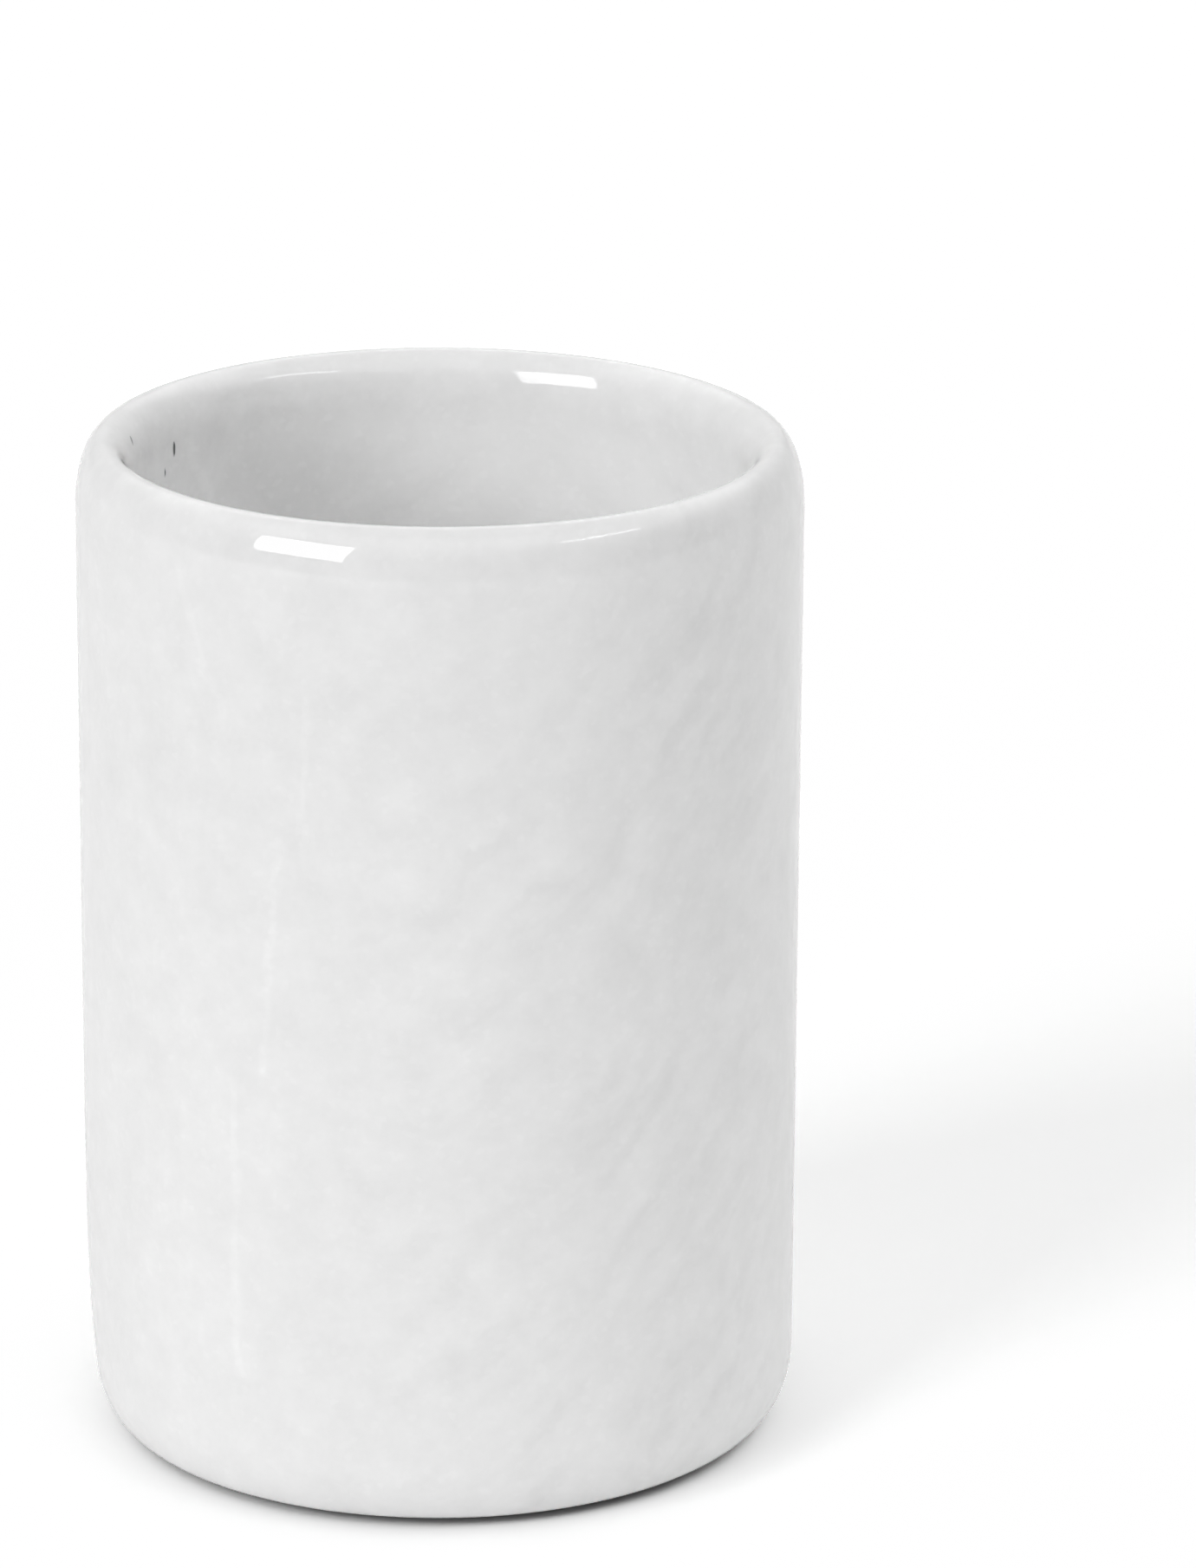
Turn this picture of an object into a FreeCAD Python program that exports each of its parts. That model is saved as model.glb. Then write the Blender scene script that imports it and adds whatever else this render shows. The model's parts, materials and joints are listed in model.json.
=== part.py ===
import FreeCAD, Part
import math
import os

# Desk pen cup, turned from one piece of solid marble and standing on four stick-on pads.
# Millimetres. The origin is the centre of the footprint on the desk, +Z is up along the
# cup's axis, and -Y is the front. The cup is a body of revolution about Z.

from FreeCAD import Vector

# Marble cup
CUP_RADIUS = 45.0
CUP_HEIGHT = 127.0
FLOOR_THICKNESS = 9.0

# The lip is fully rounded: two quarter ellipses, outer and inner, meet at its crest.
LIP_OUTER_WIDTH = 3.4
LIP_OUTER_HEIGHT = 8.5
LIP_INNER_WIDTH = 3.2
LIP_INNER_HEIGHT = 6.0

# The bottom edge is a quarter ellipse as well.
BASE_EDGE_WIDTH = 4.5
BASE_EDGE_HEIGHT = 7.9

# Round left by the boring tool where the cavity's wall meets its floor.
CAVITY_FLOOR_ROUND = 5.0

# Stick-on foam pads, each on its own disc of adhesive film
PAD_COUNT = 4
PAD_CIRCLE_RADIUS = 29.0
PAD_RADIUS = 6.0
PAD_THICKNESS = 1.0
PAD_EDGE_CHAMFER = 0.2
FILM_RADIUS = 5.8
FILM_THICKNESS = 0.15
PAD_NAMES = ["front", "right", "back", "left"]

# Heights and radii that follow from the sizes above
CUP_BOTTOM_Z = PAD_THICKNESS + FILM_THICKNESS
CUP_TOP_Z = CUP_BOTTOM_Z + CUP_HEIGHT
CREST_RADIUS = CUP_RADIUS - LIP_OUTER_WIDTH
CAVITY_RADIUS = CREST_RADIUS - LIP_INNER_WIDTH
CAVITY_FLOOR_Z = CUP_BOTTOM_Z + FLOOR_THICKNESS

ORIGIN = Vector(0, 0, 0)
UP = Vector(0, 0, 1)
FULL_TURN = 360.0
QUARTER_TURN = math.pi / 2
FRONT_ANGLE = -90.0


def profile_point(radius, height):
    """A point of the half profile, in the plane of X and Z."""
    return Vector(radius, 0, height)


def straight(start, end):
    return Part.LineSegment(start, end).toShape()


def quarter_ellipse(centre, tall_end, wide_end):
    """Quarter ellipse from its upper or lower end to its side end, taller than it is wide."""
    ellipse = Part.Ellipse(tall_end, wide_end, centre)
    return ellipse.toShape(0.0, QUARTER_TURN)


def cavity_floor_round(wall_bottom, floor_edge):
    """Quarter circle between the cavity's wall and its floor."""
    centre = profile_point(floor_edge.x, wall_bottom.z)
    reach = CAVITY_FLOOR_ROUND * math.sqrt(0.5)
    middle = centre + Vector(reach, 0, -reach)
    return Part.Arc(wall_bottom, middle, floor_edge).toShape()


def cup_body():
    """One-piece marble cup: flat underside, straight sides, rounded lip, straight cavity."""
    bottom_centre = profile_point(0, CUP_BOTTOM_Z)
    bottom_edge = profile_point(CUP_RADIUS - BASE_EDGE_WIDTH, CUP_BOTTOM_Z)
    side_bottom = profile_point(CUP_RADIUS, CUP_BOTTOM_Z + BASE_EDGE_HEIGHT)
    side_top = profile_point(CUP_RADIUS, CUP_TOP_Z - LIP_OUTER_HEIGHT)
    crest = profile_point(CREST_RADIUS, CUP_TOP_Z)
    wall_top = profile_point(CAVITY_RADIUS, CUP_TOP_Z - LIP_INNER_HEIGHT)
    wall_bottom = profile_point(CAVITY_RADIUS, CAVITY_FLOOR_Z + CAVITY_FLOOR_ROUND)
    floor_edge = profile_point(CAVITY_RADIUS - CAVITY_FLOOR_ROUND, CAVITY_FLOOR_Z)
    floor_centre = profile_point(0, CAVITY_FLOOR_Z)
    outline = [
        straight(bottom_centre, bottom_edge),
        quarter_ellipse(profile_point(bottom_edge.x, side_bottom.z), bottom_edge, side_bottom),
        straight(side_bottom, side_top),
        quarter_ellipse(profile_point(CREST_RADIUS, side_top.z), crest, side_top),
        quarter_ellipse(profile_point(CREST_RADIUS, wall_top.z), crest, wall_top),
        straight(wall_top, wall_bottom),
        cavity_floor_round(wall_bottom, floor_edge),
        straight(floor_edge, floor_centre),
        straight(floor_centre, bottom_centre),
    ]
    face = Part.Face(Part.Wire(outline))
    return face.revolve(ORIGIN, UP, FULL_TURN)


def pad_centre(index, height):
    angle = math.radians(FRONT_ANGLE + index * FULL_TURN / PAD_COUNT)
    return Vector(
        PAD_CIRCLE_RADIUS * math.cos(angle),
        PAD_CIRCLE_RADIUS * math.sin(angle),
        height,
    )


def foam_pad(index):
    """Round foam pad with its lower edge broken by a small chamfer."""
    disc = Part.makeCylinder(PAD_RADIUS, PAD_THICKNESS, pad_centre(index, 0), UP)
    lower_edge = [edge for edge in disc.Edges if edge.BoundBox.ZMax < PAD_EDGE_CHAMFER]
    return disc.makeChamfer(PAD_EDGE_CHAMFER, lower_edge)


def adhesive_film(index):
    """Disc of double-sided film between a pad and the stone."""
    return Part.makeCylinder(FILM_RADIUS, FILM_THICKNESS, pad_centre(index, PAD_THICKNESS), UP)


def all_parts():
    parts = {"cup_body": cup_body()}
    for index, name in enumerate(PAD_NAMES):
        parts["foot_pad_" + name] = foam_pad(index)
        parts["adhesive_film_" + name] = adhesive_film(index)
    return parts


os.makedirs("parts", exist_ok=True)
for part_name, shape in all_parts().items():
    shape.exportStep(os.path.join("parts", part_name + ".step"))
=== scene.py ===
import json
import math
import random

import bpy
from mathutils import Matrix, Vector


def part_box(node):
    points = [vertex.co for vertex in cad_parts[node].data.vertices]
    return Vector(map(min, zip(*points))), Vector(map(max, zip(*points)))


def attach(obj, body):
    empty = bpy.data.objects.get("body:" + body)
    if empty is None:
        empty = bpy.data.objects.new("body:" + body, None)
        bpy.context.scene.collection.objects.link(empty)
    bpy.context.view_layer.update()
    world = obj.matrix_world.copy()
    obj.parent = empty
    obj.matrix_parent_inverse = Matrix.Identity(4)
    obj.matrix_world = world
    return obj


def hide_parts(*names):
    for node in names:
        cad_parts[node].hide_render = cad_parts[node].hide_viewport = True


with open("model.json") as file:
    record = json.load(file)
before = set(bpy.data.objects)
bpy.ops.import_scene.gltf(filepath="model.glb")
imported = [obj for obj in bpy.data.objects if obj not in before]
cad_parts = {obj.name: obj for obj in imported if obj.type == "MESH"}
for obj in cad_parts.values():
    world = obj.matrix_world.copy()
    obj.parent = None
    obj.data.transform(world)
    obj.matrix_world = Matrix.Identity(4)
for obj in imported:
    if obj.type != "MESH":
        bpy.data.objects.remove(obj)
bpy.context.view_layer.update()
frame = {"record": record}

# Polished marble pen cup on four foam feet, standing on a white sweep.
# Sizes are in mm and angles in radians, unless a comment says otherwise.
MM = 0.001

# ---------------------------------------------------------------- sizes of the stone
# The plain sizes come from the frame; the roundings are the CAD model's own.
cup_low, cup_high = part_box("cup_body")
CUP_RADIUS = cup_high.x / MM
CUP_BOTTOM = cup_low.z / MM
CUP_TOP = cup_high.z / MM
CAVITY = next(m for m in frame["record"]["mounts"] if m["name"] == "cavity")
CAVITY_RADIUS = CAVITY["dims"]["r_mm"]
CAVITY_WALL_TOP = CAVITY["pos_m"][2] / MM + CAVITY["dims"]["length_mm"] / 2
CAVITY_WALL_BOTTOM = CAVITY["pos_m"][2] / MM - CAVITY["dims"]["length_mm"] / 2
CAVITY_FLOOR_ROUND = 5.0
LIP_OUTER_WIDTH = 3.4
LIP_OUTER_HEIGHT = 8.5
CREST_RADIUS = CUP_RADIUS - LIP_OUTER_WIDTH
BASE_EDGE_WIDTH = 4.5
BASE_EDGE_HEIGHT = 7.9

# Hand finishing: on one side (the left) the foot is ground back further, in a long soft taper.
WORN_SIDE = math.radians(180)
WORN_SPREAD = math.radians(38)
WORN_DEPTH = 1.6
WORN_LENGTH = 12.0
WORN_EDGE_LOSS = 1.5         # height the bottom rounding loses for each mm ground off its width
# Polishing by hand leaves the wall uneven by a few hundredths and the crest a touch flat.
WALL_ALLOWANCE = 0.035       # keeps the uneven wall just inside the nominal radius
SLOW_WAVE = 0.010
QUICK_WAVE = 0.012
CREST_DROP = 0.05
CREST_SLOW_WAVE = 0.03
CREST_QUICK_WAVE = 0.02
CREST_LAND = 0.12
CREST_LAND_WAVE = 0.05
INNER_LIP_WAVE = 0.25

# Points along each stretch of the cup's half profile, and round its axis
BASE_EDGE_POINTS = 16
OUTER_WALL_POINTS = 44
OUTER_LIP_POINTS = 26
INNER_LIP_POINTS = 22
CAVITY_WALL_POINTS = 40
FLOOR_ROUND_POINTS = 10
FLOOR_POINTS = 8
UNDERSIDE_POINTS = 10
CUP_SEGMENTS = 540

# ---------------------------------------------------------------- sizes of the feet
PAD_SEGMENTS = 120
PAD_INSET = 0.10             # the foam is cut this much inside its full radius
PAD_RIM_ROUND = 0.16
PAD_BULGE = 0.06
PAD_BULGE_SHOULDER = 0.7     # share of the bulge above and below the middle
PAD_SHOULDER_RISE = 0.18
FILM_INSET = 0.04
FILM_EDGE_RISE = 0.03
FILM_EDGE_SWELL = 0.01
random.seed(7)


# ---------------------------------------------------------------- outlines and meshes
def arc(centre, width, height, start, stop, count):
    """Points of an ellipse arc in the plane of radius and height, angles in degrees."""
    points = []
    for k in range(count):
        angle = math.radians(start + (stop - start) * k / (count - 1))
        points.append((centre[0] + width * math.cos(angle), centre[1] + height * math.sin(angle)))
    return points


def line(start, stop, count):
    """Points of a straight stretch, without its ends."""
    points = []
    for k in range(1, count + 1):
        t = k / (count + 1)
        points.append((start[0] + (stop[0] - start[0]) * t, start[1] + (stop[1] - start[1]) * t))
    return points


def worn(angle):
    """How much of the extra grinding reaches this side of the foot, 0 to 1."""
    off = (angle - WORN_SIDE + math.pi) % (2 * math.pi) - math.pi
    return math.exp(-((off / WORN_SPREAD) ** 4))


def hand_wave(angle, height):
    """Slow unevenness of a hand-polished wall, a few hundredths deep."""
    slow = math.sin(2 * angle + height / 31 + 0.6) + math.sin(3 * angle - height / 17 + 2.1)
    quick = math.sin(7 * angle + height / 9) * math.sin(5 * angle - height / 13 + 1.3)
    return -WALL_ALLOWANCE + SLOW_WAVE * slow + QUICK_WAVE * quick


def outer_shift(angle, height):
    """How far the outer wall stands off its nominal radius here; negative is inward."""
    rise = max(height - CUP_BOTTOM, 0.0)
    taper = WORN_DEPTH * worn(angle) * math.exp(-((rise / WORN_LENGTH) ** 1.3))
    return hand_wave(angle, height) - taper


def cup_outline(angle):
    """Half profile at one angle, from the underside round the lip to the floor of the cavity."""
    grind = WORN_DEPTH * worn(angle)
    edge_w = BASE_EDGE_WIDTH - grind
    edge_h = BASE_EDGE_HEIGHT - WORN_EDGE_LOSS * grind
    side_z = CUP_BOTTOM + edge_h
    foot_r = CUP_RADIUS - edge_w + outer_shift(angle, CUP_BOTTOM)
    floor_z = CAVITY_WALL_BOTTOM - CAVITY_FLOOR_ROUND
    floor_r = CAVITY_RADIUS - CAVITY_FLOOR_ROUND

    crest_wave = CREST_SLOW_WAVE * math.sin(2 * angle + 0.9) + CREST_QUICK_WAVE * math.sin(5 * angle)
    drop = CREST_DROP + crest_wave
    crest = CUP_TOP - drop
    land = CREST_LAND + CREST_LAND_WAVE * math.sin(3 * angle + 2.0)
    lip_z = CUP_TOP - LIP_OUTER_HEIGHT
    inner_w = CREST_RADIUS - CAVITY_RADIUS - land
    inner_h = CUP_TOP - CAVITY_WALL_TOP + INNER_LIP_WAVE * math.sin(2 * angle - 0.9)
    inner_z = crest - inner_h

    outer = arc((CUP_RADIUS - edge_w, side_z), edge_w, edge_h, -90, 0, BASE_EDGE_POINTS)
    outer += line((CUP_RADIUS, side_z), (CUP_RADIUS, lip_z), OUTER_WALL_POINTS)
    lip = arc((CREST_RADIUS, lip_z), LIP_OUTER_WIDTH, LIP_OUTER_HEIGHT - drop, 0, 90, OUTER_LIP_POINTS)
    outer += lip[:-1]
    outer = [(r + outer_shift(angle, z), z) for r, z in outer]

    inner = arc((CREST_RADIUS - land, inner_z), inner_w, inner_h, 90, 180, INNER_LIP_POINTS)
    inner += line((CAVITY_RADIUS, inner_z), (CAVITY_RADIUS, CAVITY_WALL_BOTTOM), CAVITY_WALL_POINTS)
    inner += arc((floor_r, CAVITY_WALL_BOTTOM), CAVITY_FLOOR_ROUND, CAVITY_FLOOR_ROUND, 0, -90,
                 FLOOR_ROUND_POINTS)
    inner += line((floor_r, floor_z), (0.0, floor_z), FLOOR_POINTS)

    underside = line((0.0, CUP_BOTTOM), (foot_r, CUP_BOTTOM), UNDERSIDE_POINTS)
    return underside + outer + inner


def pad_outline_for(phase):
    """Die-cut foam disc, squeezed a little by the weight: sides bulge, rims are slightly rounded."""
    low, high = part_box("foot_pad_front")
    bottom, top, full = low.z / MM, high.z / MM, (high.x - low.x) / 2 / MM
    middle = (bottom + top) / 2
    shoulder = PAD_BULGE * PAD_BULGE_SHOULDER

    def outline(angle):
        ragged = 0.03 * math.sin(3 * angle + phase) + 0.015 * math.sin(11 * angle + 2 * phase)
        edge = full - PAD_INSET + ragged
        rim = edge - PAD_RIM_ROUND
        points = line((0.0, bottom), (rim, bottom), 8)
        points += arc((rim, bottom + PAD_RIM_ROUND), PAD_RIM_ROUND, PAD_RIM_ROUND, -90, 0, 6)
        points.append((edge + shoulder, middle - PAD_SHOULDER_RISE))
        points.append((edge + PAD_BULGE, middle))
        points.append((edge + shoulder, middle + PAD_SHOULDER_RISE))
        points += arc((rim, top - PAD_RIM_ROUND), PAD_RIM_ROUND, PAD_RIM_ROUND, 0, 90, 6)
        points += line((rim, top), (0.0, top), 8)
        return points

    return outline


def film_outline_for(phase):
    """Thin adhesive disc, cut a little smaller than its pad."""
    low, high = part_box("adhesive_film_front")
    bottom, top, full = low.z / MM, high.z / MM, (high.x - low.x) / 2 / MM
    middle = (bottom + top) / 2

    def outline(angle):
        ragged = 0.03 * math.sin(2 * angle + phase) + 0.008 * math.sin(17 * angle)
        edge = full - FILM_INSET + ragged
        points = line((0.0, bottom), (edge, bottom), 6)
        points.append((edge, bottom + FILM_EDGE_RISE))
        points.append((edge + FILM_EDGE_SWELL, middle))
        points.append((edge, top - FILM_EDGE_RISE))
        points += line((edge, top), (0.0, top), 6)
        return points

    return outline


def lathe(name, outline_at, segments, centre=(0.0, 0.0)):
    """Closed mesh from a half profile that may change with the angle."""
    rings = [outline_at(2 * math.pi * k / segments) for k in range(segments)]
    rows = len(rings[0])
    bottom_z = rings[0][0][1]
    top_z = rings[0][-1][1]
    verts = [(centre[0] * MM, centre[1] * MM, bottom_z * MM)]
    for row in range(rows):
        for k in range(segments):
            angle = 2 * math.pi * k / segments
            radius, height = rings[k][row]
            x = centre[0] + radius * math.cos(angle)
            y = centre[1] + radius * math.sin(angle)
            verts.append((x * MM, y * MM, height * MM))
    verts.append((centre[0] * MM, centre[1] * MM, top_z * MM))
    faces = []
    last = 1 + (rows - 1) * segments
    for k in range(segments):
        nxt = (k + 1) % segments
        faces.append((0, 1 + nxt, 1 + k))
        faces.append((last + k, last + nxt, len(verts) - 1))
        for row in range(rows - 1):
            a = 1 + row * segments
            b = a + segments
            faces.append((a + k, a + nxt, b + nxt, b + k))
    mesh = bpy.data.meshes.new(name)
    mesh.from_pydata(verts, [], faces)
    mesh.update()
    mesh.shade_smooth()
    return linked(name, mesh)


def linked(name, data):
    """New object in the scene, around a mesh, a light or a camera."""
    new_object = bpy.data.objects.new(name, data)
    bpy.context.scene.collection.objects.link(new_object)
    return new_object


# ---------------------------------------------------------------- node materials
class Look:
    """A procedural material or world, built node by node."""

    def __init__(self, owner, shader="Principled BSDF"):
        owner.use_nodes = True
        self.owner = owner
        self.tree = owner.node_tree
        self.shader = self.tree.nodes[shader]

    def add(self, kind, values, output=0, **settings):
        node = self.tree.nodes.new(kind)
        for name, value in settings.items():
            setattr(node, name, value)
        for name, value in values.items():
            self.put(node.inputs[name], value)
        return node.outputs[output]

    def put(self, socket, value):
        if isinstance(value, bpy.types.NodeSocket):
            self.tree.links.new(value, socket)
        else:
            socket.default_value = value

    def set(self, **values):
        for name, value in values.items():
            self.put(self.shader.inputs[name.replace("_", " ")], value)

    def math(self, operation, first, second=0.0):
        return self.add("ShaderNodeMath", {0: first, 1: second}, operation=operation)

    def plus(self, *terms):
        total = terms[0]
        for term in terms[1:]:
            total = self.math("ADD", total, term)
        return total

    def times(self, first, second):
        return self.math("MULTIPLY", first, second)

    def minus(self, first, second):
        return self.math("SUBTRACT", first, second)

    def ramp(self, value, low, high, out_low=0.0, out_high=1.0):
        """Smooth step from one value to another."""
        values = {"Value": value, "From Min": low, "From Max": high, "To Min": out_low, "To Max": out_high}
        return self.add("ShaderNodeMapRange", values, interpolation_type="SMOOTHSTEP")

    def vector(self, operation, values, output=0):
        return self.add("ShaderNodeVectorMath", values, output=output, operation=operation)

    def dot(self, vector, direction):
        return self.vector("DOT_PRODUCT", {0: vector, 1: direction}, "Value")

    def x(self, vector):
        return self.dot(vector, (1.0, 0.0, 0.0))

    def z(self, vector):
        return self.dot(vector, (0.0, 0.0, 1.0))

    def length(self, vector):
        return self.vector("LENGTH", {0: vector}, "Value")

    def distance(self, vector, point):
        return self.vector("DISTANCE", {0: vector, 1: point}, "Value")

    def scaled(self, vector, size):
        return self.vector("SCALE", {0: vector, "Scale": size})

    def shifted(self, vector, offset):
        return self.vector("ADD", {0: vector, 1: offset})

    def stretched(self, vector, factors):
        return self.vector("MULTIPLY", {0: vector, 1: factors})

    def moved(self, vector, push, strength):
        """The vector, pushed by another one."""
        return self.vector("MULTIPLY_ADD", {0: push, 1: (strength, strength, strength), 2: vector})

    def join(self, x, y, z):
        return self.add("ShaderNodeCombineXYZ", {"X": x, "Y": y, "Z": z})

    def noise(self, vector, size, detail=2.0, roughness=0.5, output=0):
        """Noise with features of about this size, in the units of the vector."""
        values = {"Vector": vector, "Scale": 1.0 / size, "Detail": detail, "Roughness": roughness}
        return self.add("ShaderNodeTexNoise", values, output=output)

    def drift(self, vector, size, detail, roughness=0.5):
        """Noise as a direction, centred on zero."""
        colour = self.noise(vector, size, detail, roughness, output="Color")
        return self.shifted(colour, (-0.5, -0.5, -0.5))

    def cells(self, vector, size, output="Distance"):
        values = {"Vector": vector, "Scale": 1.0 / size}
        return self.add("ShaderNodeTexVoronoi", values, output=output, feature="F1")

    def place(self):
        """Position on the object in mm."""
        return self.scaled(self.add("ShaderNodeTexCoord", {}, output="Object"), 1.0 / MM)

    def ray_is(self, kind):
        """1 for rays of this kind, such as "Camera", and 0 for the others."""
        return self.add("ShaderNodeLightPath", {}, output="Is " + kind + " Ray")

    def bump(self, height, strength, depth):
        """Relief in the surface; the depth is in metres."""
        values = {"Height": height, "Strength": strength, "Distance": depth}
        self.set(Normal=self.add("ShaderNodeBump", values))

    def grey(self, value):
        self.set(Base_Color=self.join(value, value, value))


def new_look(name):
    return Look(bpy.data.materials.new(name))


# ---------------------------------------------------------------- marble
STONE_TONE = 0.928
# Change of tone made by each feature at its strongest
MOTTLE = 0.132
MOTTLE_CUT_RIGHT = 0.02
MOTTLE_CUT_INSIDE = 0.055
STREAK = 0.024
STREAK_GAIN_RIGHT = 0.048
DARK_STREAK = -0.022
CLOUD = 0.035
CRYSTAL = 0.008
PAINTED_GLINT_TONE = 0.010
PIT = -0.55
# Painted shade: the underside is darkened, so that the narrow gap beneath the cup looks darker.
UNDERSIDE_PAINTED_SHADE = -0.21
# Painted light: the cavity wall is lightened, standing in for light that fills the hollow.
INSIDE_PAINTED_LIGHT = 0.02
# Bedding planes: their normal, and how far the streaks run along them and across
BEDDING = (-0.6, -1.0, 1.0)
STREAK_LENGTH = 20.0
STREAK_THICKNESS = 3.8
# Healed cracks, where they cross the front: x, height, lean, half length, half width
CRACKS = (
    (-25.0, 38.0, 0.0, 27.0, 0.8),
    (-20.6, 73.0, 0.07, 20.0, 0.7),
    (-16.2, 97.0, 0.0, 13.0, 0.6),
    (-28.6, 111.0, -0.32, 13.0, 0.8),
)
# Natural pits near the mouth: place and size
PITS = (
    ((-33.4, 18.9, 120.9), 0.24),
    ((-34.5, 16.8, 118.4), 0.19),
    ((-38.2, 7.0, 125.3), 0.26),
)
PIT_SLENDER = (1.0, 1.0, 0.28)    # squeezes the height, so that a pit is a short upright slit


def bedding(look, place, normal, along, across):
    """Noise drawn out along the bedding planes with this normal: long in the plane, thin across."""
    n = Vector(normal).normalized()
    u = n.orthogonal().normalized()
    v = n.cross(u)
    along_u = look.times(look.dot(place, u), 1 / along)
    along_v = look.times(look.dot(place, v), 1 / along)
    across_n = look.times(look.dot(place, n), 1 / across)
    return look.noise(look.join(along_u, along_v, across_n), 1.0, 2.0, 0.5)


def steep_vein(look, place, x, z, lean, half_length, width, wander):
    """Thin healed crack: a nearly upright plane through the stone, fading out above and below."""
    across = look.plus(look.dot(place, (1.0, 0.0, -lean)), -(x - lean * z), wander)
    core = look.ramp(look.math("ABSOLUTE", across), width * 0.25, width, 1.0, 0.0)
    up = look.math("ABSOLUTE", look.minus(look.z(place), z))
    return look.times(core, look.ramp(up, half_length * 0.6, half_length, 1.0, 0.0))


def healed_cracks(look, place, wander):
    veins = steep_vein(look, place, *CRACKS[0], wander)
    for crack in CRACKS[1:]:
        veins = look.math("MAXIMUM", veins, steep_vein(look, place, *crack, wander))
    return veins


def small_pits(look, place, raggedness):
    """Short upright slits with ragged edges."""
    squeezed = look.stretched(place, PIT_SLENDER)
    pits = 0.0
    for spot, size in PITS:
        target = tuple(s * k for s, k in zip(spot, PIT_SLENDER))
        away = look.plus(look.distance(squeezed, target), raggedness)
        pits = look.plus(look.ramp(away, size * 0.5, size * 1.3, 1.0, 0.0), pits)
    return pits


def marble():
    look = new_look("polished_marble")
    place = look.place()
    x = look.x(place)
    height = look.z(place)
    radius = look.length(look.stretched(place, (1.0, 1.0, 0.0)))

    # Masks, 0 to 1: the underside, the inside of the cavity, and the right half
    under = look.ramp(height, CUP_BOTTOM + 0.02, CUP_BOTTOM + 0.25, 1.0, 0.0)
    in_bore = look.ramp(radius, CAVITY_RADIUS + 0.1, CAVITY_RADIUS + 0.7, 1.0, 0.0)
    above_base = look.ramp(height, CUP_BOTTOM + 3, CUP_BOTTOM + 5)
    below_lip = look.ramp(height, CAVITY_WALL_TOP - 4, CAVITY_WALL_TOP + 1, 1.0, 0.0)
    inside = look.times(in_bore, look.times(above_base, below_lip))
    right = look.times(look.ramp(x, -24.0, 14.0), look.ramp(x, 24.0, 44.0, 1.0, 0.5))

    # Soft streaks follow the bedding, which rises to the right; strongest on the right half.
    fold = look.drift(place, 26.0, 1.0)
    fray = look.drift(place, 5.0, 3.0, 0.62)
    folded = look.moved(look.moved(place, fold, 14.0), fray, 4.5)
    streak = bedding(look, folded, BEDDING, STREAK_LENGTH, STREAK_THICKNESS)
    soft = look.times(look.minus(streak, 0.5), look.plus(look.times(right, STREAK_GAIN_RIGHT), STREAK))
    patch = look.noise(place, 20.0, 0.0)
    dark = look.times(look.times(look.ramp(streak, 0.52, 0.30), right), look.ramp(patch, 0.42, 0.60))
    cloud = look.times(look.minus(patch, 0.5), CLOUD)

    # Fine mottle, a tone that differs from crystal to crystal, painted glints on a few crystals, healed
    # cracks and pits.
    blotch = look.minus(look.noise(place, 5.5, 4.0, 0.66), 0.5)
    strength = look.plus(MOTTLE, look.times(right, -MOTTLE_CUT_RIGHT), look.times(inside, -MOTTLE_CUT_INSIDE))
    mottle = look.times(blotch, strength)
    crystal = look.x(look.cells(place, 0.8, "Color"))
    # Painted glint: a few crystals are lightened, as if they caught the light.
    painted_glint = look.ramp(crystal, 0.90, 0.97)
    veins = healed_cracks(look, place, look.times(look.x(fray), 2.6))
    vein_tone = look.times(veins, look.plus(0.018, look.times(blotch, 0.05)))
    pits = small_pits(look, place, look.times(blotch, 0.5))

    look.grey(look.plus(
        STONE_TONE, mottle, soft, cloud,
        look.times(crystal, CRYSTAL),
        look.times(dark, DARK_STREAK),
        look.times(painted_glint, PAINTED_GLINT_TONE),
        vein_tone,
        look.times(pits, PIT),
        look.times(under, UNDERSIDE_PAINTED_SHADE),
        look.times(inside, INSIDE_PAINTED_LIGHT),
    ))

    # The drilled cavity is less polished than the outside, and the sawn underside is only honed.
    look.set(Roughness=look.plus(
        0.035,
        look.times(blotch, 0.03),
        look.times(inside, 0.16),
        look.times(under, 0.42),
        look.times(pits, 0.4),
    ))
    sawn = look.times(look.math("SINE", look.times(radius, 7.0)), look.times(under, 0.5))
    turned = look.times(look.math("SINE", look.times(height, 5.0)), look.times(inside, 0.10))
    skin = look.times(look.noise(place, 3.0, 2.0), look.plus(0.04, look.times(under, 1.5)))
    look.bump(look.plus(skin, sawn, turned, look.times(pits, -6.0)), 0.35, 0.00006)

    # Light enters the stone and spreads about 4 mm below its surface.
    look.set(IOR=1.49, Subsurface_Weight=1.0, Subsurface_Scale=0.004, Subsurface_Radius=(1.0, 1.0, 1.0))
    look.shader.subsurface_method = "BURLEY"
    return look.owner


# ---------------------------------------------------------------- foam, adhesive, table
def foam():
    look = new_look("closed_cell_foam")
    place = look.place()
    cell = look.cells(place, 0.32)
    look.grey(look.plus(0.018, look.times(cell, 0.02), look.times(look.noise(place, 1.6, 3.0), 0.014)))
    look.bump(look.plus(cell, look.times(look.noise(place, 0.15, 2.0), 0.5)), 0.8, 0.00008)
    look.set(Roughness=look.plus(0.78, look.times(cell, 0.15)), IOR=1.45)
    return look.owner


def adhesive():
    """Cream film; clouding lightens each colour channel by its own share."""
    look = new_look("adhesive_film")
    place = look.place()
    cloud = look.noise(place, 1.2, 3.0, 0.6)
    channels = ((0.42, 0.16), (0.41, 0.15), (0.37, 0.13))
    look.set(Base_Color=look.join(*(look.plus(low, look.times(cloud, gain)) for low, gain in channels)))
    look.bump(look.noise(place, 0.25, 2.0), 0.5, 0.00003)
    look.set(Roughness=look.plus(0.45, look.times(cloud, 0.2)), IOR=1.48)
    return look.owner


TABLE_TONE = 0.925
OVEREXPOSURE_SEEN = 0.31
OVEREXPOSURE_MIRRORED = 0.16


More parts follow.
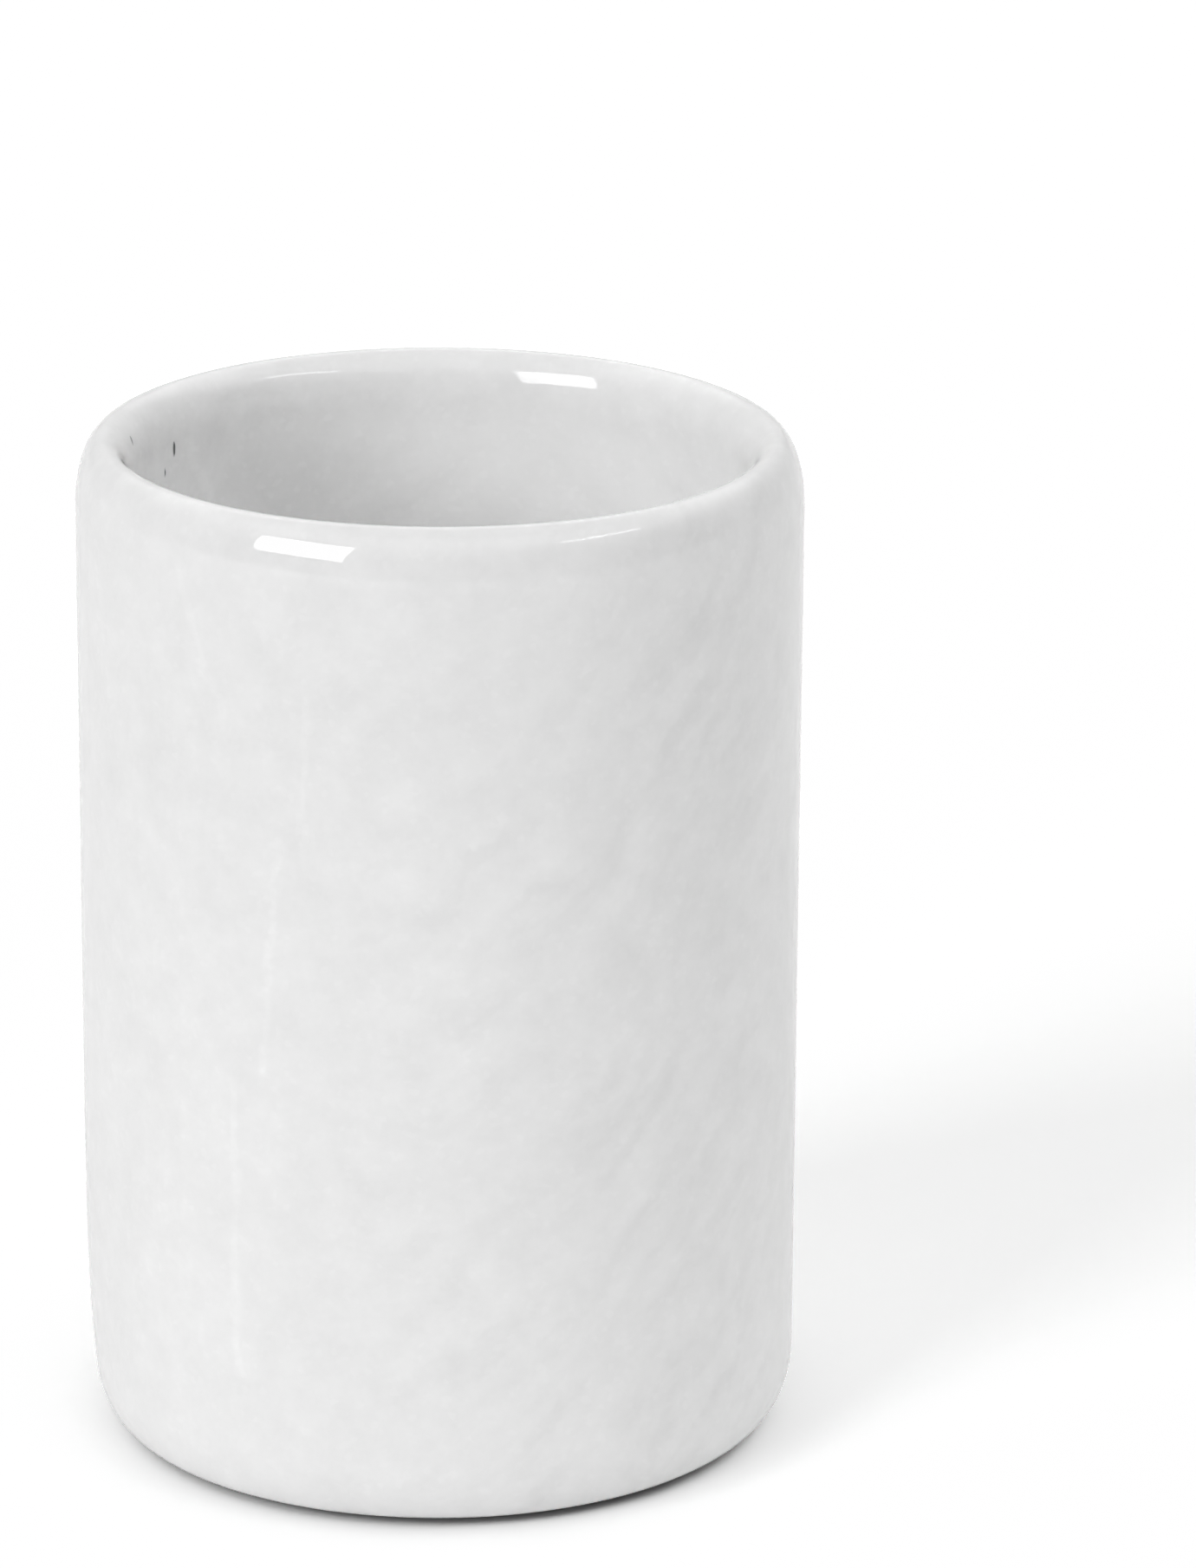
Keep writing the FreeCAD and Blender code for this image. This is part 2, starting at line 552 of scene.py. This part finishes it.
def white_sweep():
    """Matt white table, a little over-exposed where the camera or the polish shows it."""
    look = new_look("white_sweep")
    place = look.place()
    seen = look.ray_is("Camera")
    mirrored = look.ray_is("Glossy")
    # Painted pool of light: for rays other than camera and glossy ones the table is darkened beyond its
    # middle, as if only the middle were lit, so the part beyond sends little light back to the cup.
    dim = look.ramp(look.length(place), 220.0, 900.0, 0.0, 0.5)
    painted_falloff = look.times(dim, look.minus(1.0, look.math("MAXIMUM", seen, mirrored)))
    tone = look.plus(TABLE_TONE, look.times(look.noise(place, 90.0, 2.0), 0.01), look.times(painted_falloff, -1.0))
    gain = look.plus(1.0, look.times(seen, OVEREXPOSURE_SEEN), look.times(mirrored, OVEREXPOSURE_MIRRORED))
    tone = look.times(tone, gain)
    surface = look.add("ShaderNodeBsdfDiffuse", {"Color": look.join(tone, tone, tone)}, output="BSDF")
    look.put(look.tree.nodes["Material Output"].inputs["Surface"], surface)
    return look.owner


# ---------------------------------------------------------------- the pieces
def hand_in(piece, material, node):
    """Give the piece its material and put it in the frame in place of the CAD node."""
    piece.data.materials.append(material)
    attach(piece, "root")
    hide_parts(node)


hand_in(lathe("marble_cup", cup_outline, CUP_SEGMENTS), marble(), "cup_body")

foam_look = foam()
film_look = adhesive()
for side in ("front", "right", "back", "left"):
    pad_low, pad_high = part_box("foot_pad_" + side)
    centre = (pad_low + pad_high) / 2 / MM
    phase = random.uniform(0, 6.28)
    pad = lathe("foam_foot_" + side, pad_outline_for(phase), PAD_SEGMENTS, (centre.x, centre.y))
    hand_in(pad, foam_look, "foot_pad_" + side)
    film = lathe("film_" + side, film_outline_for(phase), PAD_SEGMENTS, (centre.x, centre.y))
    hand_in(film, film_look, "adhesive_film_" + side)


# ---------------------------------------------------------------- stage: table, lights, camera
TABLE_REACH_M = 8.0
SOFTBOX_DISTANCE_M = 6.0


def floor():
    low, high = -TABLE_REACH_M, TABLE_REACH_M
    mesh = bpy.data.meshes.new("floor")
    mesh.from_pydata([(low, low, 0), (high, low, 0), (high, high, 0), (low, high, 0)], [], [(0, 1, 2, 3)])
    piece = linked("floor", mesh)
    piece.data.materials.append(white_sweep())


def softbox(name, azimuth, elevation, half_width, half_height, radiance):
    """Rectangular soft light; azimuth from the front towards the right, all angles in degrees."""
    data = bpy.data.lights.new(name, "AREA")
    data.shape = "RECTANGLE"
    data.size = 2 * SOFTBOX_DISTANCE_M * math.tan(math.radians(half_width))
    data.size_y = 2 * SOFTBOX_DISTANCE_M * math.tan(math.radians(half_height))
    data.energy = radiance * math.pi * data.size * data.size_y
    light = linked(name, data)
    around, up = math.radians(azimuth), math.radians(elevation)
    target = Vector((0, 0, CUP_TOP / 2 * MM))
    ray = Vector((math.sin(around) * math.cos(up), -math.cos(around) * math.cos(up), math.sin(up)))
    light.location = target + ray * SOFTBOX_DISTANCE_M
    light.rotation_euler = (-ray).to_track_quat("-Z", "Y").to_euler()


# The walls of the studio: their light for all rays, for the ring, and for the white backdrop
WALL_LIGHT = 0.25
RING_LIGHT = 0.97
RING_TILT = (0.36, 0.32, 0.0)    # the ring is brighter at the right and at the back
BACKDROP_MIRRORED = 0.45
BACKDROP_SEEN = 0.9


def studio_walls():
    """Soft ring of light round the table at middle height, and a white backdrop."""
    world = bpy.data.worlds.new("studio")
    bpy.context.scene.world = world
    look = Look(world, "Background")
    ray = look.add("ShaderNodeTexCoord", {}, output="Generated")
    up = look.z(ray)
    ring = look.times(look.ramp(up, 0.34, 0.60), look.ramp(up, 0.74, 0.92, 1.0, 0.0))
    side = look.plus(RING_LIGHT, look.dot(ray, RING_TILT))
    # The white sweep rises behind the table, where the polish mirrors it.
    to_back = look.ramp(look.dot(ray, (0.0, 1.0, 0.0)), -0.1, 0.35)
    behind = look.times(to_back, look.ramp(up, 0.30, 0.55, BACKDROP_MIRRORED, 0.0))
    mirrored = look.times(behind, look.ray_is("Glossy"))
    seen = look.times(look.ray_is("Camera"), BACKDROP_SEEN)
    look.set(Color=(1, 1, 1, 1), Strength=look.plus(WALL_LIGHT, look.times(ring, side), mirrored, seen))


CAMERA_LENS_MM = 170.05
CAMERA_PLACE_M = (0, -0.87955, 0.36992)
CAMERA_PITCH = math.radians(18.0737)
CAMERA_YAW = math.radians(1.2836)
CAMERA_ROLL = math.radians(0.4052)


def camera():
    data = bpy.data.cameras.new("camera")
    data.lens = CAMERA_LENS_MM
    data.sensor_width = 36.0
    data.clip_end = 50
    eye = linked("camera", data)
    turn = Matrix.Rotation(-CAMERA_YAW, 4, "Z") @ Matrix.Rotation(math.pi / 2 - CAMERA_PITCH, 4, "X")
    turn = turn @ Matrix.Rotation(CAMERA_ROLL, 4, "Z")
    eye.matrix_world = Matrix.Translation(CAMERA_PLACE_M) @ turn
    bpy.context.scene.camera = eye


# Points of the view's tone curve: deeper shadows, unchanged middle tones, and clean whites
TONE_CURVE = (
    (0.12, 0.035),
    (0.28, 0.13),
    (0.45, 0.36),
    (0.62, 0.605),
    (0.8, 0.8),
    (0.88, 0.883),
    (0.92, 0.945),
    (0.955, 0.995),
)
COMBINED_CURVE = 3


def photographic_contrast():
    view = bpy.context.scene.view_settings
    view.view_transform = "Standard"
    view.use_curve_mapping = True
    curve = view.curve_mapping.curves[COMBINED_CURVE]
    for before, after in TONE_CURVE:
        curve.points.new(before, after)
    view.curve_mapping.update()


floor()
softbox("key", azimuth=-45.5, elevation=22.5, half_width=14.8, half_height=9.7, radiance=5.85)
softbox("strip", azimuth=58, elevation=34.5, half_width=13, half_height=1.7, radiance=4.1)
studio_walls()
camera()
photographic_contrast()
